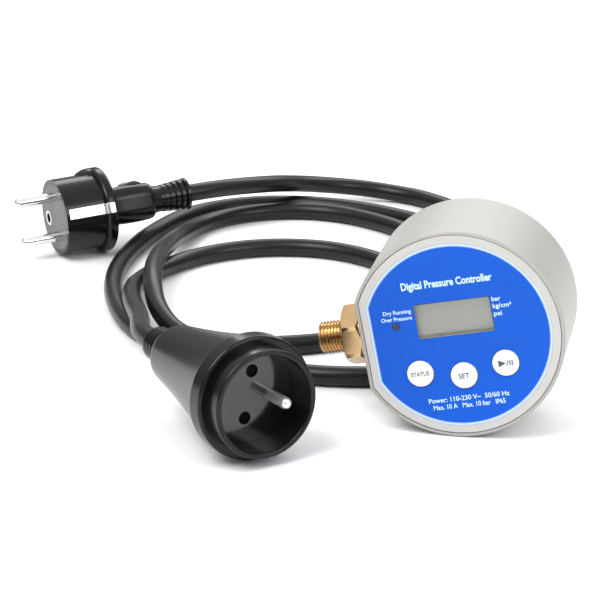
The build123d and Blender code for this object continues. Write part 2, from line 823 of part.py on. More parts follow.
with BuildPart() as plug_pins:
    with BuildSketch(plug.offset(pin_length)):
        with Locations(*pin_line):
            Circle(pin_diameter / 2)
    extrude(amount=-pin_length)
    fillet(plug_pins.edges().group_by(Axis(plug.origin, plug.z_dir))[-1], pin_tip_round)
    with BuildSketch(plug):
        with Locations(*pin_line):
            Circle(pin_root_diameter / 2)
    extrude(amount=-pin_root)
save(plug_pins.part, "plug_pins")

with BuildPart() as plug_earth_sleeve:
    with BuildSketch(plug):
        with Locations((-earth_offset, 0)):
            Circle(earth_sleeve_diameter / 2)
            Circle(earth_sleeve_bore / 2, mode=Mode.SUBTRACT)
    extrude(amount=-earth_sleeve_depth)
save(plug_earth_sleeve.part, "plug_earth_sleeve")

with BuildPart() as plug_earth_clips:
    with BuildSketch(plug.offset(-clip_front)):
        with Locations(*clip_line):
            Rectangle(clip_thickness, clip_width)
    extrude(amount=-clip_length)
save(plug_earth_clips.part, "plug_earth_clips")

# Trailing socket, from its rim backwards
socket_collar_end = socket_rim_length + socket_collar_length
socket_height = (
    socket_collar_radius * cos(radians(socket_elevation)) + socket_collar_end * sin(radians(socket_elevation))
)
outlet = facing(socket_place, socket_height, socket_azimuth, socket_elevation, socket_turn)
socket_floor = socket_recess_depth + socket_insert_thickness
socket_core_end = socket_floor + socket_core_length
outlet_side = Plane(origin=outlet.origin, x_dir=outlet.x_dir, z_dir=-outlet.y_dir)
with BuildPart() as socket_body:
    with BuildSketch(outlet_side):
        with BuildLine():
            Polyline(
                (socket_back_radius, -socket_collar_end),
                (socket_collar_radius, -socket_collar_end),
                (socket_collar_radius, -socket_rim_length),
                (socket_rim_radius, -socket_rim_length),
                (socket_rim_radius, 0),
                (socket_recess_radius, 0),
                (socket_recess_radius, -socket_floor),
                (socket_core_radius, -socket_floor),
                (socket_core_radius, -socket_core_end),
                (0, -socket_core_end),
                (0, -socket_length),
                (socket_neck_radius, -socket_length),
                (socket_neck_radius, -socket_shoulder_end),
                (socket_shoulder_radius, -socket_shoulder_end),
            )
            Spline(
                (socket_shoulder_radius, -socket_shoulder_end),
                (socket_waist_radius, -socket_waist_depth),
                (socket_back_radius, -socket_collar_end),
            )
        make_face()
    revolve(axis=Axis(outlet.origin, outlet.z_dir))
    rings = socket_body.edges().filter_by(GeomType.CIRCLE)
    fillet(rings.sort_by(SortBy.RADIUS)[-2:], socket_collar_round)
    shoulder = [ring for ring in rings if abs(ring.radius - socket_shoulder_radius) < part_gap]
    fillet(shoulder, socket_shoulder_round)
    mouth = socket_body.faces().sort_by(Axis(outlet.origin, outlet.z_dir))[-1]
    fillet(mouth.edges(), socket_rim_round)
    for ring in range(socket_ring_count):
        ring_start = socket_length - socket_ring_pitch * ring - socket_ring_width
        with BuildSketch(outlet.offset(-ring_start)):
            Circle(socket_ring_radius + socket_ring_growth * ring)
        extrude(amount=-socket_ring_width)
save(socket_body.part, "socket_body")

hole_line = ((0, pin_spacing / 2), (0, -pin_spacing / 2))
contact_radius = socket_hole_diameter / 2 + contact_wall
contact_start = socket_recess_depth + contact_setback
with BuildPart() as socket_insert:
    with BuildSketch(outlet.offset(-socket_recess_depth)):
        Circle(socket_recess_radius - part_gap)
        with Locations((earth_offset, 0)):
            Circle(pin_root_diameter / 2 + part_gap, mode=Mode.SUBTRACT)
    extrude(amount=-socket_insert_thickness)
    with BuildSketch(outlet.offset(-socket_floor)):
        Circle(socket_core_radius - part_gap)
    extrude(amount=-socket_core_length)
    with BuildSketch(outlet.offset(-socket_recess_depth)):
        with Locations(*hole_line):
            Circle(socket_hole_diameter / 2)
    extrude(amount=-contact_setback, mode=Mode.SUBTRACT)
    with BuildSketch(outlet.offset(-contact_start)):
        with Locations(*hole_line):
            Circle(contact_radius + part_gap)
    extrude(amount=-contact_length, mode=Mode.SUBTRACT)
save(socket_insert.part, "socket_insert")

with BuildPart() as socket_contacts:
    with BuildSketch(outlet.offset(-contact_start)):
        with Locations(*hole_line):
            Circle(contact_radius)
            Circle(socket_hole_diameter / 2, mode=Mode.SUBTRACT)
    extrude(amount=-contact_length)
save(socket_contacts.part, "socket_contacts")

with BuildPart() as socket_earth_pin:
    with BuildSketch(outlet.offset(socket_pin_rise - socket_recess_depth)):
        with Locations((earth_offset, 0)):
            Circle(pin_diameter / 2)
    extrude(amount=-socket_pin_rise)
    fillet(socket_earth_pin.faces().sort_by(Axis(outlet.origin, outlet.z_dir))[-1].edges(), pin_tip_round)
    with BuildSketch(outlet.offset(-socket_recess_depth)):
        with Locations((earth_offset, 0)):
            Circle(pin_root_diameter / 2)
    extrude(amount=-socket_insert_thickness)
save(socket_earth_pin.part, "socket_earth_pin")


def route_points(gland_place, route, end_plane, end_length):
    """Cord route from its gland to the far strain relief, leaving both along their axes."""
    start = case.from_local_coords((gland_place[0], gland_place[1], rear_z - gland_length))
    start_lead = case.from_local_coords((gland_place[0], gland_place[1], rear_z - gland_length - cord_lead))
    finish = end_plane.from_local_coords((0, 0, -end_length))
    finish_lead = end_plane.from_local_coords((0, 0, -end_length - cord_lead))
    chosen = [Vector(x + case_x, y + case_y, z) for x, y, z in route]
    return [start, start_lead, *chosen, finish_lead, finish]


def bend_radii(points):
    """Largest arcs that the runs beside each corner allow."""
    radii = []
    for before, corner, after in zip(points, points[1:], points[2:]):
        first = corner - before
        second = after - corner
        half_turn = radians(first.get_angle(second)) / 2
        radii.append(bend_share * min(first.length, second.length) / tan(half_turn))
    return radii


def cord(points, name):
    """Round cord swept along straight runs joined by tangent arcs."""
    radii = bend_radii(points)
    with BuildPart() as piece:
        with BuildLine() as path:
            FilletPolyline(*points, radius=radii)
        line = path.wire()
        with BuildSketch(Plane(origin=points[0], z_dir=points[1] - points[0])):
            Circle(cord_diameter / 2)
        sweep(path=line)
    save(piece.part, name)
    length = line.length
    section = 3.14159265 * cord_diameter**2 / 4
    print(name, "length", round(length), "volume share", round(piece.part.volume / (section * length), 4))
    print(name, "radii", [round(r) for r in radii])


cord(route_points(gland_places["supply"], supply_route, plug, plug_length), "supply_cord")
cord(route_points(gland_places["outlet"], outlet_route, outlet, socket_length), "outlet_cord")
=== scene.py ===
import math

import bmesh
import bpy
from mathutils import Matrix, Vector


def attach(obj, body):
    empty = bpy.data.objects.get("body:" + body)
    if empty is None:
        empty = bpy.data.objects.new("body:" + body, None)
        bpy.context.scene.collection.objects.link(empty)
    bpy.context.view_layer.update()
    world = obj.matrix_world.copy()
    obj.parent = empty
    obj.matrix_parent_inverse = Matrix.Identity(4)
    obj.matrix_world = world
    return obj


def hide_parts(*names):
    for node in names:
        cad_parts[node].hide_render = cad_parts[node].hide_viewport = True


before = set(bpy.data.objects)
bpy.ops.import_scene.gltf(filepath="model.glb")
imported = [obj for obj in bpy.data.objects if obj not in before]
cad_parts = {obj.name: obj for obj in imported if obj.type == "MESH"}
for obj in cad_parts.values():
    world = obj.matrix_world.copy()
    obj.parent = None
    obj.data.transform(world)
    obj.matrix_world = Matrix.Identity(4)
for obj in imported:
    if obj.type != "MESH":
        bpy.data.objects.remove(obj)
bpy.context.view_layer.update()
MM = 0.001

# Places and sizes on the case, in its own millimetres: x right, y up, z out of the front
CASE_SHIFT = Vector((8.090357, -6.6, 0.0))
CASE_RADIUS = 42.5
CASE_ROLL = math.radians(11.0)
FRONT_Z = 25.0
KEY_TOP = 25.8
KEY_PLACES = {"left": (-17.2, -13.9), "middle": (0.0, -16.6), "right": (17.2, -13.4)}
LABEL_RADIUS = 37.5
LABEL_FLAT = 34.1
PORT_Z = 7.0
GLAND_Z = -39.0
GLAND_PLACES = {"supply": (2.0, -13.0), "outlet": (-17.0, -13.0)}


def case_matrix():
    """From the case's own millimetres to the shared frame."""
    x = Vector((math.cos(CASE_ROLL), 0, math.sin(CASE_ROLL)))
    z = Vector((0, -1, 0))
    m = Matrix((x, z.cross(x), z)).transposed().to_4x4()
    m.translation = CASE_SHIFT + Vector((0, 0, CASE_RADIUS))
    return Matrix.Scale(MM, 4) @ m


def facing_matrix(place, height, azimuth, elevation, turn):
    """From a plug's or socket's own millimetres, with z out of its face, to the shared frame."""
    az, el, tn = (math.radians(v) for v in (azimuth, elevation, turn))
    z = Vector((math.sin(az) * math.cos(el), -math.cos(az) * math.cos(el), math.sin(el)))
    level = Vector((math.cos(az), math.sin(az), 0))
    x = Matrix.Rotation(tn, 3, z) @ level
    m = Matrix((x, z.cross(x), z)).transposed().to_4x4()
    m.translation = Vector((place[0], place[1], height)) + CASE_SHIFT
    return Matrix.Scale(MM, 4) @ m


CASE = case_matrix()

# The port's own z runs out of the case's flat side
PORT = CASE @ Matrix(((0, 0, -1, 0), (0, 1, 0, 0), (1, 0, 0, PORT_Z), (0, 0, 0, 1)))

# The plug and the socket lie on the floor to the left of the case, one behind it and one in front
PLUG = facing_matrix(place=(-224.5, 172.8), height=19.8348, azimuth=-53.0, elevation=-2.7, turn=17.4)
SOCKET = facing_matrix(place=(-66.2, -71.25), height=25.5781, azimuth=41.5, elevation=2.0, turn=-11.2)
PLUG_LENGTH = 69.0
SOCKET_LENGTH = 92.0

# Camera, at the photograph's angle
CAMERA_PLACE = Vector((124.7007, -943.144, 366.238)) + CASE_SHIFT
CAMERA_AIM = Vector((-0.18979424, 0.92922729, -0.31704067))
SENSOR_WIDTH = 36.0
FOCAL_LENGTH = 150.0


def add_camera():
    right = CAMERA_AIM.cross(Vector((0, 0, 1))).normalized()
    up = right.cross(CAMERA_AIM)
    data = bpy.data.cameras.new("camera")
    data.sensor_width = SENSOR_WIDTH
    data.lens = FOCAL_LENGTH
    data.clip_start = 0.01
    data.clip_end = 20.0
    camera = bpy.data.objects.new("camera", data)
    m = Matrix((right, up, -CAMERA_AIM)).transposed().to_4x4()
    m.translation = CAMERA_PLACE * MM
    camera.matrix_world = m
    bpy.context.collection.objects.link(camera)
    bpy.context.scene.camera = camera


# Materials: the noise sizes are in millimetres
BROAD_DETAIL = 3.0
FINE_DETAIL = 4.0
FINE_LOW = 0.3
FINE_HIGH = 0.7
ROUGH_SPREAD = 0.06
LEAST_ROUGH = 0.02
BUMP_STRENGTH = 0.35


def map_range(tree, value, start, end, low, high, smooth):
    """A value between start and end, brought between low and high."""
    node = tree.nodes.new("ShaderNodeMapRange")
    node.interpolation_type = "SMOOTHSTEP" if smooth else "LINEAR"
    node.inputs["From Min"].default_value = start
    node.inputs["From Max"].default_value = end
    node.inputs["To Min"].default_value = low
    node.inputs["To Max"].default_value = high
    tree.links.new(value, node.inputs["Value"])
    return node.outputs["Result"]


def noise(tree, vector, size, detail):
    """A noise whose features are about so many millimetres wide."""
    node = tree.nodes.new("ShaderNodeTexNoise")
    node.inputs["Scale"].default_value = 1 / MM / size
    node.inputs["Detail"].default_value = detail
    tree.links.new(vector, node.inputs["Vector"])
    return node.outputs["Fac"]


def material(
    name,
    color,
    rough,
    metallic=0.0,
    spread=0.04,
    grain=0.4,
    relief=0.01,
    patch=14.0,
    specular=0.5,
    ior=1.48,
    transmission=0.0,
):
    """A principled material with grain in its colour, gloss and relief.

    spread is the share by which the colour varies, and patch the size of these variations.
    grain is the size of the relief's grain, and relief its depth.
    """
    mat = bpy.data.materials.new(name)
    mat.use_nodes = True
    tree = mat.node_tree
    shader = tree.nodes["Principled BSDF"]
    shader.inputs["Metallic"].default_value = metallic
    shader.inputs["IOR"].default_value = ior
    shader.inputs["Specular IOR Level"].default_value = specular
    shader.inputs["Transmission Weight"].default_value = transmission
    place = tree.nodes.new("ShaderNodeTexCoord").outputs["Object"]
    broad = noise(tree, place, patch, BROAD_DETAIL)
    fine = noise(tree, place, grain, FINE_DETAIL)
    mix = tree.nodes.new("ShaderNodeMix")
    mix.data_type = "RGBA"
    mix.inputs["A"].default_value = [c * (1 - spread) for c in color] + [1.0]
    mix.inputs["B"].default_value = [min(1.0, c * (1 + spread)) for c in color] + [1.0]
    tree.links.new(broad, mix.inputs["Factor"])
    tree.links.new(mix.outputs["Result"], shader.inputs["Base Color"])
    low = max(LEAST_ROUGH, rough - ROUGH_SPREAD)
    gloss = map_range(tree, fine, FINE_LOW, FINE_HIGH, low, rough + ROUGH_SPREAD, smooth=False)
    tree.links.new(gloss, shader.inputs["Roughness"])
    bump = tree.nodes.new("ShaderNodeBump")
    bump.inputs["Strength"].default_value = BUMP_STRENGTH
    bump.inputs["Distance"].default_value = relief * MM
    tree.links.new(fine, bump.inputs["Height"])
    tree.links.new(bump.outputs["Normal"], shader.inputs["Normal"])
    return mat


MATERIALS = {
    "housing": material("housing_grey", (0.37, 0.36, 0.34), 0.42, grain=0.35, relief=0.02, patch=30),
    "cover": material("cover_grey", (0.50, 0.49, 0.47), 0.42, grain=0.35, relief=0.02, patch=30),
    "label": material(
        "label_blue", (0.0, 0.085, 0.53), 0.30, grain=0.5, relief=0.004, patch=45, spread=0.14, specular=0.22
    ),
    "white_key": material("key_white", (0.84, 0.86, 0.88), 0.35, relief=0.006),
    "print_pale": material("print_pale", (0.55, 0.76, 0.95), 0.5, grain=0.3, relief=0.002),
    "print_dark": material("print_dark", (0.06, 0.07, 0.10), 0.5, grain=0.3, relief=0.002),
    "window": material("window_clear", (0.97, 0.98, 0.97), 0.05, grain=2.0, relief=0.001, transmission=1.0),
    "display": material("display_green", (0.46, 0.49, 0.42), 0.3, relief=0.002, patch=18),
    "black": material("black_plastic", (0.018, 0.018, 0.02), 0.45, grain=0.3),
    "lamp": material("lamp_dark", (0.01, 0.02, 0.08), 0.12, grain=0.5, relief=0.002),
    "board": material("board_green", (0.01, 0.12, 0.04), 0.3, grain=0.5),
    "sleeve": material("capacitor_sleeve", (0.01, 0.015, 0.05), 0.25, grain=0.5, relief=0.004),
    "terminal": material("terminal_green", (0.02, 0.20, 0.05), 0.4, grain=0.5),
    "nickel": material("nickel", (0.80, 0.79, 0.77), 0.18, 1.0, grain=0.25, relief=0.004, spread=0.06),
    "pin": material("pin_metal", (0.85, 0.85, 0.84), 0.28, 0.75, grain=0.25, relief=0.004, spread=0.05),
    "steel": material("zinc_steel", (0.55, 0.56, 0.58), 0.35, 1.0, grain=0.25),
    "brass": material("brass_metal", (0.60, 0.41, 0.21), 0.22, 1.0, grain=0.3, spread=0.2, patch=6),
    "gasket": material("gasket_grey", (0.28, 0.27, 0.25), 0.6, grain=0.3, relief=0.02),
    "seal": material("seal_rubber", (0.02, 0.02, 0.02), 0.6, grain=0.3, relief=0.02),
    "cord": material(
        "cord_rubber", (0.006, 0.006, 0.007), 0.34, grain=0.5, relief=0.03, spread=0.25, specular=0.32
    ),
    "plug": material("plug_rubber", (0.004, 0.004, 0.005), 0.21, spread=0.25, specular=0.32),
    "face": material("plug_face_grey", (0.10, 0.10, 0.10), 0.40, relief=0.02, spread=0.2),
    "insert": material("insert_black", (0.004, 0.004, 0.005), 0.12, grain=0.8, relief=0.003, ior=1.7),
}


# Painted highlight, a pale band along the label's edge: how far inside its edge the blue begins to fade, and
# where it is gone
LABEL_HIGHLIGHT_START = 1.3
LABEL_HIGHLIGHT_END = 0.5
LABEL_HIGHLIGHT_COLOR = (0.50, 0.64, 0.92, 1.0)


def add_label_edge_highlight(mat):
    """A painted highlight: a paler edge along the label's circle and its flat side."""
    tree = mat.node_tree
    shader = tree.nodes["Principled BSDF"]
    away = tree.nodes.new("ShaderNodeVectorMath")
    away.operation = "SUBTRACT"
    away.inputs[1].default_value = CASE @ Vector((0, 0, FRONT_Z))
    place = tree.nodes.new("ShaderNodeTexCoord").outputs["Object"]
    tree.links.new(place, away.inputs[0])
    reach = tree.nodes.new("ShaderNodeVectorMath")
    reach.operation = "LENGTH"
    tree.links.new(away.outputs["Vector"], reach.inputs[0])
    side = tree.nodes.new("ShaderNodeVectorMath")
    side.operation = "DOT_PRODUCT"
    side.inputs[1].default_value = -(CASE.to_3x3() @ Vector((1, 0, 0))).normalized()
    tree.links.new(away.outputs["Vector"], side.inputs[0])
    nearest = tree.nodes.new("ShaderNodeMath")
    nearest.operation = "MAXIMUM"
    edges = ((reach.outputs["Value"], LABEL_RADIUS), (side.outputs["Value"], LABEL_FLAT))
    for socket, (value, limit) in zip(nearest.inputs, edges):
        start, end = (limit - LABEL_HIGHLIGHT_START) * MM, (limit - LABEL_HIGHLIGHT_END) * MM
        tree.links.new(map_range(tree, value, start, end, 0.0, 1.0, smooth=True), socket)
    mix = tree.nodes.new("ShaderNodeMix")
    mix.data_type = "RGBA"
    tree.links.new(nearest.outputs["Value"], mix.inputs["Factor"])
    tree.links.new(shader.inputs["Base Color"].links[0].from_socket, mix.inputs["A"])
    # The painted highlight's pale colour, mixed over the label's blue
    mix.inputs["B"].default_value = LABEL_HIGHLIGHT_COLOR
    tree.links.new(mix.outputs["Result"], shader.inputs["Base Color"])


# The look of each CAD node
NODE_LOOKS = {
    "housing": "housing", "front_cover": "cover", "cover_gasket": "gasket", "front_label": "label",
    "display_window": "window", "display_glass": "display", "display_holder": "black",
    "light_pipe": "lamp", "status_lamp": "lamp", "control_board": "board", "power_board": "board",
    "key_switches": "black", "relay": "black", "transformer": "black", "capacitor": "sleeve",
    "terminals": "terminal", "board_header": "nickel", "board_screws": "steel", "cover_screws": "steel",
    "pipe_fitting": "brass", "port_seal": "seal", "port_nut": "brass", "pressure_sensor": "steel",
    "supply_gland": "cord", "outlet_gland": "cord", "gland_nuts": "black", "plug_body": "plug",
    "plug_face": "face", "plug_pins": "nickel", "plug_earth_sleeve": "nickel", "plug_earth_clips": "nickel",
    "socket_body": "plug", "socket_insert": "insert", "socket_contacts": "nickel",
    "socket_earth_pin": "pin", "supply_cord": "cord", "outlet_cord": "cord",
    "key_left": "white_key", "key_middle": "white_key", "key_right": "white_key",
    "plunger_left": "black", "plunger_middle": "black", "plunger_right": "black",
}


def dress_nodes():
    """Each CAD node gets its material; its mesh stays as it is."""
    for node, look in NODE_LOOKS.items():
        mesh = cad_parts[node].data
        mesh.materials.clear()
        mesh.materials.append(MATERIALS[look])


def add_piece(name, data, look, body):
    """A piece of the scene, from a mesh or a curve, that rides on a body."""
    data.materials.append(MATERIALS[look])
    piece = bpy.data.objects.new(name, data)
    bpy.context.collection.objects.link(piece)
    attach(piece, body)
    return piece


def mesh_of(name, b):
    """A mesh with what was built in b, which is freed."""
    mesh = bpy.data.meshes.new(name)
    b.to_mesh(mesh)
    b.free()
    return mesh


# Print on the label and the keys, as thin raised letters
LETTER_SIZE = 3.0
LETTER_DEPTH = 0.03
LETTER_SEGMENTS = 3
TITLE_BOLD = 0.09
LABEL_BOLD = 0.05
KEY_BOLD = 0.06

# Each line is its words, the x and y of its middle or its end, its width and the height of its capitals,
# the end that x is for, and how much its strokes are thickened
LABEL_LINES = [
    ("Digital Pressure Controller", -0.6, 22.3, 36.2, 2.9, "CENTER", TITLE_BOLD),
    ("Dry Running", -16.5, 12.3, 11.2, 1.55, "RIGHT", LABEL_BOLD),
    ("Over Pressure", -16.5, 9.6, 12.4, 1.55, "RIGHT", LABEL_BOLD),
    ("bar", 15.9, 13.2, 3.6, 1.75, "LEFT", LABEL_BOLD),
    ("kg/cm²", 15.9, 10.3, 7.4, 1.75, "LEFT", LABEL_BOLD),
    ("psi", 15.9, 7.2, 3.2, 1.75, "LEFT", LABEL_BOLD),
    ("Power: 110-230 V~  50/60 Hz", 0.3, -25.9, 32.5, 1.9, "CENTER", LABEL_BOLD),
    ("Max. 10 A   Max. 10 bar   IP65", 0.0, -28.9, 29.0, 1.9, "CENTER", LABEL_BOLD),
]

# The words on each key, their width and the height of their capitals
KEY_WORDS = {"left": ("STATUS", 7.4, 1.7), "middle": ("SET", 4.4, 2.0), "right": ("▶/II", 5.8, 2.0)}


def line_of_letters(text, bold):
    """The mesh of one line in the font's own proportions, standing on y = 0."""
    data = bpy.data.curves.new("line", "FONT")
    data.body = text
    data.size = LETTER_SIZE
    data.align_y = "BOTTOM_BASELINE"
    data.extrude = LETTER_DEPTH
    data.offset = bold
    data.resolution_u = LETTER_SEGMENTS
    holder = bpy.data.objects.new("line", data)
    bpy.context.collection.objects.link(holder)
    bpy.context.view_layer.update()
    mesh = bpy.data.meshes.new_from_object(holder)
    bpy.data.objects.remove(holder)
    bpy.data.curves.remove(data)
    return mesh


CAPITAL = max(v.co.y for v in line_of_letters("H", 0.0).vertices)


def add_print(name, lines, z, body, look):
    """One piece of print that holds all the lines, with their capitals' middles at their y."""
    joined = bmesh.new()
    for text, x, y, width, capital, side, bold in lines:
        mesh = line_of_letters(text, bold)
        low = min(v.co.x for v in mesh.vertices)
        high = max(v.co.x for v in mesh.vertices)
        anchor = {"LEFT": low, "CENTER": (low + high) / 2, "RIGHT": high}[side]
        place = (
            Matrix.Translation((x, y - capital / 2, z))
            @ Matrix.Diagonal((width / (high - low), capital / CAPITAL, 1.0, 1.0))
            @ Matrix.Translation((-anchor, 0, 0))
        )
        mesh.transform(CASE @ place)
        joined.from_mesh(mesh)
        bpy.data.meshes.remove(mesh)
    add_piece(name, mesh_of(name, joined), look, body)


def add_prints():
    add_print("label_print", LABEL_LINES, FRONT_Z + LETTER_DEPTH, "case", "print_pale")
    for key, (words, width, capital) in KEY_WORDS.items():
        line = (words, *KEY_PLACES[key], width, capital, "CENTER", KEY_BOLD)
        add_print(f"print_{key}", [line], KEY_TOP + LETTER_DEPTH, f"key_{key}", "print_dark")


# Brass fitting with its cut thread: places along the port's axis, from the inside out, then radii
SHANK_START = 30.5
SEAT_FLOOR = 32.0
FLANGE_START = 39.5
HEX_START = 40.5
HEX_END = 48.0
THREAD_START = 49.2
CUT_START = 49.3
CUT_END = 58.4
FITTING_END = 58.5
BORE_RADIUS = 2.5
MOUTH_RADIUS = 3.0
SEAT_RADIUS = 5.85
SHANK_RADIUS = 8.0
FLANGE_RADIUS = 11.5
NECK_RADIUS = 5.72
TIP_RADIUS = 5.6
HEX_ACROSS = 22.0
HEX_CHAMFER_STEP = 0.1
HEX_CHAMFER_STEPS = 12
HEX_CHAMFER_SLOPE = 1.6
THREAD_CREST = 6.58
THREAD_DEPTH = 0.86
THREAD_PITCH = 1.337
THREAD_RUN_OUT = 0.9
THREAD_RINGS = 96
FLANK_SLOPE = 1.3
ROOT_SHARE = 0.15
FITTING_COLUMNS = 96
SHARP_ANGLE = math.radians(28)


def closed_rings(name, rings, columns, place):
    """A ring-shaped skin: each ring is (its radius at an angle, its height), and the last joins the first."""
    verts = []
    for radius, height in rings:
        for i in range(columns):
            angle = 2 * math.pi * i / columns
            r = radius(angle)
            verts.append(place @ Vector((r * math.cos(angle), r * math.sin(angle), height)))
    faces = []
    for j in range(len(rings)):
        for i in range(columns):
            k = (i + 1) % columns
            a, b = j * columns, (j + 1) % len(rings) * columns
            faces.append((a + i, a + k, b + k, b + i))
    mesh = bpy.data.meshes.new(name)
    mesh.from_pydata(verts, [], faces)
    mesh.shade_smooth()
    mesh.set_sharp_from_angle(angle=SHARP_ANGLE)
    return mesh


def round_of(radius):
    return lambda angle: radius


def hexagon_of(limit):
    """A hexagon with a flat at angle 0, whose corners are cut back to a limit."""

    def radius(angle):
        off = (angle + math.radians(30)) % math.radians(60) - math.radians(30)
        return min(HEX_ACROSS / 2 / math.cos(off), limit)

    return radius


def thread_of(height):
    """The thread's section at one height: its crest turns once in each pitch and runs out at the end."""

    def radius(angle):
        root = THREAD_CREST - THREAD_DEPTH
        if height <= CUT_START:
            return root
        turn = (height / THREAD_PITCH - angle / (2 * math.pi)) % 1.0
        ramp = abs(turn - 0.5) * 2
        share = min(1.0, max(0.0, ramp * FLANK_SLOPE - ROOT_SHARE))
        run_in = min(1.0, (FITTING_END - height) / THREAD_RUN_OUT)
        top = THREAD_CREST - THREAD_RUN_OUT * (1 - run_in)
        return min(top, root + THREAD_DEPTH * share)

    return radius


def hexagon_heights():
    """Close steps over both chamfers, and one long step between them."""
    rise = [HEX_CHAMFER_STEP * i for i in range(HEX_CHAMFER_STEPS)]
    return [HEX_START + step for step in rise] + [HEX_END - step for step in reversed(rise)]


def add_fitting():
    """The fitting's skin, from the mouth down the bore, round the inner end and out to the tip."""
    rings = [(round_of(BORE_RADIUS), FITTING_END), (round_of(BORE_RADIUS), SEAT_FLOOR)]
    rings += [(round_of(SEAT_RADIUS), SEAT_FLOOR), (round_of(SEAT_RADIUS), SHANK_START)]
    rings += [(round_of(SHANK_RADIUS), SHANK_START), (round_of(SHANK_RADIUS), FLANGE_START)]
    rings += [(round_of(FLANGE_RADIUS), FLANGE_START), (round_of(FLANGE_RADIUS), HEX_START)]
    for height in hexagon_heights():
        inset = min(height - HEX_START, HEX_END - height)
        rings.append((hexagon_of(HEX_ACROSS / 2 + HEX_CHAMFER_SLOPE * inset), height))
    rings += [(round_of(NECK_RADIUS), HEX_END), (round_of(NECK_RADIUS), THREAD_START)]
    for i in range(THREAD_RINGS + 1):
        height = THREAD_START + (CUT_END - THREAD_START) * i / THREAD_RINGS
        rings.append((thread_of(height), height))
    rings += [(round_of(TIP_RADIUS), FITTING_END), (round_of(MOUTH_RADIUS), FITTING_END)]
    rings.reverse()
    mesh = closed_rings("fitting_thread", rings, FITTING_COLUMNS, PORT)
    piece = add_piece("fitting_thread", mesh, "brass", "case")
    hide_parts("pipe_fitting")


# Earth strips of the plug, as x and z in the plug's millimetres: along the body, then bent over the collar
STRIP_OUTSIDE = [(18.35, -1.5), (18.35, -19.3), (18.6, -19.8), (19.0, -19.9)]
STRIP_INSIDE = [(20.7, -24.2), (20.7, -21.9), (19.9, -20.3), (18.9, -20.1), (17.6, -19.4), (17.6, -1.5)]
STRIP_TIP = (21.0, -24.2)
BEND_CENTRE = (19.0, -21.8)
BEND_RADIUS = 2.0
BEND_ANGLES = range(15, 91, 15)
STRIP_HALF_WIDTH = 2.5
STRIP_BEVEL = 0.12

# Grip on top of the plug's front body: half sizes in x, y and z, its middle, and where it ends at the back
GRIP_SIZE = (8.0, 5.4, 8.6)
GRIP_PLACE = (0.0, 15.4, -20.6)
GRIP_BACK = -23.5
GRIP_RIPPLE = 0.012
GRIP_RIPPLE_RATE = 26


def strip_profile():
    """The strip's section: its outer side with the bend over the collar, its tip, and its inner side."""
    bend = []
    for angle in (math.radians(v) for v in BEND_ANGLES):
        x = BEND_CENTRE[0] + BEND_RADIUS * math.sin(angle)
        bend.append((x, BEND_CENTRE[1] + BEND_RADIUS * math.cos(angle)))
    return STRIP_OUTSIDE + bend + [STRIP_TIP] + STRIP_INSIDE


def add_earth_strips():
    """Both strips of sheet metal in one piece, with their edges broken."""
    b = bmesh.new()
    profile = strip_profile()
    widths = (-STRIP_HALF_WIDTH, STRIP_HALF_WIDTH)
    for side in (1, -1):
        near, far = [[b.verts.new(PLUG @ Vector((side * x, y, z))) for x, z in profile] for y in widths]
        b.faces.new(near)
        b.faces.new(list(reversed(far)))
        for i in range(len(profile)):
            k = (i + 1) % len(profile)
            b.faces.new((near[i], near[k], far[k], far[i]))
    bmesh.ops.recalc_face_normals(b, faces=b.faces)
    mesh = mesh_of("earth_strips", b)
    piece = add_piece("earth_strips", mesh, "nickel", "case")
    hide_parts("plug_earth_clips")
    bevel = piece.modifiers.new("edges", "BEVEL")
    bevel.width = STRIP_BEVEL * MM
    bevel.segments = 2
    bevel.limit_method = "ANGLE"
    return piece


def add_collar_grip():
    """A rounded, finely ribbed rise that runs up to the collar's rim and ends flat inside the collar."""
    b = bmesh.new()
    bmesh.ops.create_uvsphere(b, u_segments=48, v_segments=24, radius=1.0)
    for v in b.verts:
        ripple = 1.0 + GRIP_RIPPLE * math.sin(v.co.z * GRIP_RIPPLE_RATE)
        x = GRIP_PLACE[0] + v.co.x * GRIP_SIZE[0] * ripple
        y = GRIP_PLACE[1] + v.co.y * GRIP_SIZE[1] * ripple
        z = GRIP_PLACE[2] + v.co.z * GRIP_SIZE[2]
        v.co = PLUG @ Vector((x, y, max(z, GRIP_BACK)))
    mesh = mesh_of("collar_grip", b)
    mesh.shade_smooth()
    return add_piece("collar_grip", mesh, "plug", "case")


# Cords: the points between each gland and its plug or socket, in metres, the same as the CAD's
CORD_DIAMETER = 8.6
CORD_LEAD = 16.0
SUPPLY_ROUTE = [
    (0.0045, 0.096, 0.013), (0.004, 0.134, 0.0046), (-0.003, 0.176, 0.0043), (-0.020, 0.218, 0.0043),
    (-0.056, 0.252, 0.0043), (-0.101, 0.272, 0.0043), (-0.143, 0.270, 0.0043), (-0.174, 0.246, 0.0043),
    (-0.1855, 0.208, 0.0043), (-0.1885, 0.166, 0.0043), (-0.184, 0.128, 0.0043), (-0.1715, 0.091, 0.0043),
    (-0.155, 0.062, 0.0043), (-0.130, 0.041, 0.0043), (-0.097, 0.026, 0.0043), (-0.064, 0.0205, 0.0043),
    (-0.032, 0.027, 0.0043), (-0.001, 0.036, 0.0043), (0.017, 0.062, 0.0043), (0.021, 0.102, 0.0043),
    (0.020, 0.146, 0.0043), (0.013, 0.190, 0.0043), (-0.006, 0.232, 0.0043), (-0.033, 0.268, 0.0043),
    (-0.062, 0.294, 0.0043), (-0.077, 0.300, 0.0044), (-0.094, 0.300, 0.0062), (-0.110, 0.293, 0.0089),
    (-0.124, 0.279, 0.013), (-0.135, 0.252, 0.0199),
]
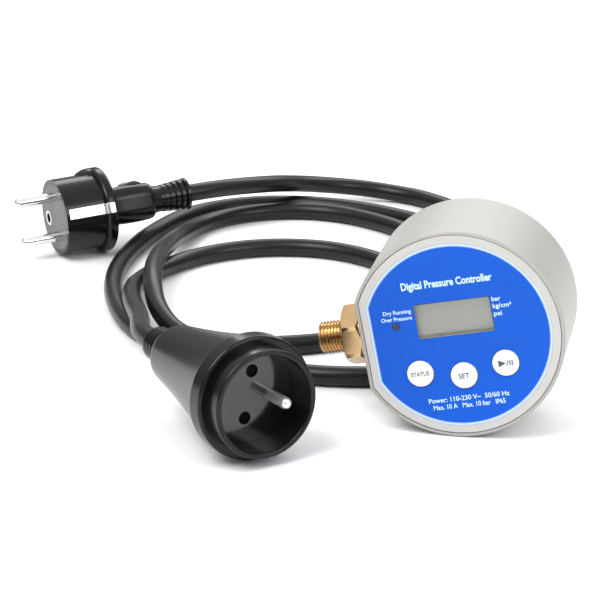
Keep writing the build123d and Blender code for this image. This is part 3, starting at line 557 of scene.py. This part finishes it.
OUTLET_ROUTE = [
    (-0.0165, 0.096, 0.012), (-0.019, 0.134, 0.0046), (-0.029, 0.178, 0.0043), (-0.046, 0.218, 0.0043),
    (-0.074, 0.2465, 0.0043), (-0.108, 0.262, 0.0043), (-0.141, 0.2545, 0.0043), (-0.163, 0.232, 0.0043),
    (-0.1685, 0.198, 0.0065), (-0.1655, 0.160, 0.0132), (-0.1625, 0.126, 0.0164), (-0.1565, 0.098, 0.0158),
    (-0.148, 0.075, 0.0096), (-0.133, 0.058, 0.0043), (-0.108, 0.0505, 0.0043), (-0.079, 0.057, 0.0043),
    (-0.050, 0.077, 0.0043), (-0.031, 0.108, 0.0043), (-0.036, 0.146, 0.0043), (-0.058, 0.178, 0.0043),
    (-0.090, 0.198, 0.0043), (-0.124, 0.196, 0.0043), (-0.151, 0.178, 0.0043), (-0.1665, 0.150, 0.0044),
    (-0.1695, 0.122, 0.007), (-0.166, 0.097, 0.0108), (-0.159, 0.073, 0.0138), (-0.149, 0.049, 0.0154),
    (-0.1445, 0.033, 0.0178),
]


def cord_points(gland, route, far, far_length):
    """Straight out of the gland, along the route, and straight into the far end's neck."""
    gx, gy = GLAND_PLACES[gland]
    points = [CASE @ Vector((gx, gy, GLAND_Z)), CASE @ Vector((gx, gy, GLAND_Z - CORD_LEAD))]
    points += [Vector(point) + CASE_SHIFT * MM for point in route]
    return points + [far @ Vector((0, 0, -far_length - CORD_LEAD)), far @ Vector((0, 0, -far_length))]


def add_cord(name, replaced, points):
    """A round cord: its radius stands at each point, because the curve's own bevel is 1."""
    data = bpy.data.curves.new(name, "CURVE")
    data.dimensions = "3D"
    data.bevel_depth = 1.0
    data.bevel_resolution = 6
    data.use_fill_caps = True
    spline = data.splines.new("NURBS")
    spline.points.add(len(points) - 1)
    for item, point in zip(spline.points, points):
        item.co = (*point, 1.0)
        item.radius = CORD_DIAMETER / 2 * MM
    spline.order_u = 3
    spline.use_endpoint_u = True
    spline.resolution_u = 10
    piece = add_piece(name, data, "cord", "case")
    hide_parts(replaced)


def add_cords(strips, grip):
    """Both cords, from the glands to the plug and the socket; the strips and grip passed in are not used."""
    supply_points = cord_points("supply", SUPPLY_ROUTE, PLUG, PLUG_LENGTH)
    outlet_points = cord_points("outlet", OUTLET_ROUTE, SOCKET, SOCKET_LENGTH)
    add_cord("supply_lead", "supply_cord", supply_points)
    add_cord("outlet_lead", "outlet_cord", outlet_points)


# Floor and light
FLOOR_HALF = 6.0
FLOOR_Z = -0.0002
SKY_TOP = 0.9
SKY_LOW = 0.25
SKY_HIGH = 1.05


def add_floor():
    """A wide pale sheet, just under the object."""
    b = bmesh.new()
    corners = ((-1, -1), (1, -1), (1, 1), (-1, 1))
    b.faces.new([b.verts.new((x * FLOOR_HALF, y * FLOOR_HALF, FLOOR_Z)) for x, y in corners])
    mesh = mesh_of("floor", b)
    mesh.materials.append(
        material("floor_white", (0.93, 0.93, 0.93), 0.7, grain=3.0, relief=0.0, spread=0.005)
    )
    floor = bpy.data.objects.new("floor", mesh)
    bpy.context.collection.objects.link(floor)


def add_sky():
    """A studio's soft surround, brighter towards the top."""
    scene = bpy.context.scene
    scene.view_settings.view_transform = "Standard"
    scene.world = bpy.data.worlds.new("studio")
    scene.world.use_nodes = True
    tree = scene.world.node_tree
    background = tree.nodes["Background"]
    background.inputs["Strength"].default_value = 1.0
    direction = tree.nodes.new("ShaderNodeTexCoord").outputs["Generated"]
    parts = tree.nodes.new("ShaderNodeSeparateXYZ")
    tree.links.new(direction, parts.inputs["Vector"])
    rise = map_range(tree, parts.outputs["Z"], 0.0, SKY_TOP, SKY_LOW, SKY_HIGH, smooth=True)
    tree.links.new(rise, background.inputs["Color"])


def add_area_light(name, place, aim, size, power):
    """A soft rectangle of light that faces the point it aims at, all in metres."""
    data = bpy.data.lights.new(name, "AREA")
    data.shape = "RECTANGLE"
    data.size, data.size_y = size
    data.energy = power
    light = bpy.data.objects.new(name, data)
    light.location = place
    light.rotation_euler = (Vector(aim) - Vector(place)).to_track_quat("-Z", "Y").to_euler()
    bpy.context.collection.objects.link(light)


add_camera()
# Painted highlight along the label's edge
add_label_edge_highlight(MATERIALS["label"])
dress_nodes()
add_prints()
add_fitting()
add_cords(add_earth_strips(), add_collar_grip())
add_floor()
add_sky()
add_area_light("key_light", (-0.5, -0.6, 1.1), aim=(-0.05, 0.08, 0.02), size=(0.7, 0.7), power=13.0)
add_area_light("fill_light", (0.9, -0.5, 0.7), aim=(0.0, 0.05, 0.03), size=(0.6, 0.6), power=5.0)
add_area_light("back_light", (0.0, 1.2, 0.9), aim=(-0.05, 0.1, 0.02), size=(1.4, 0.5), power=9.0)
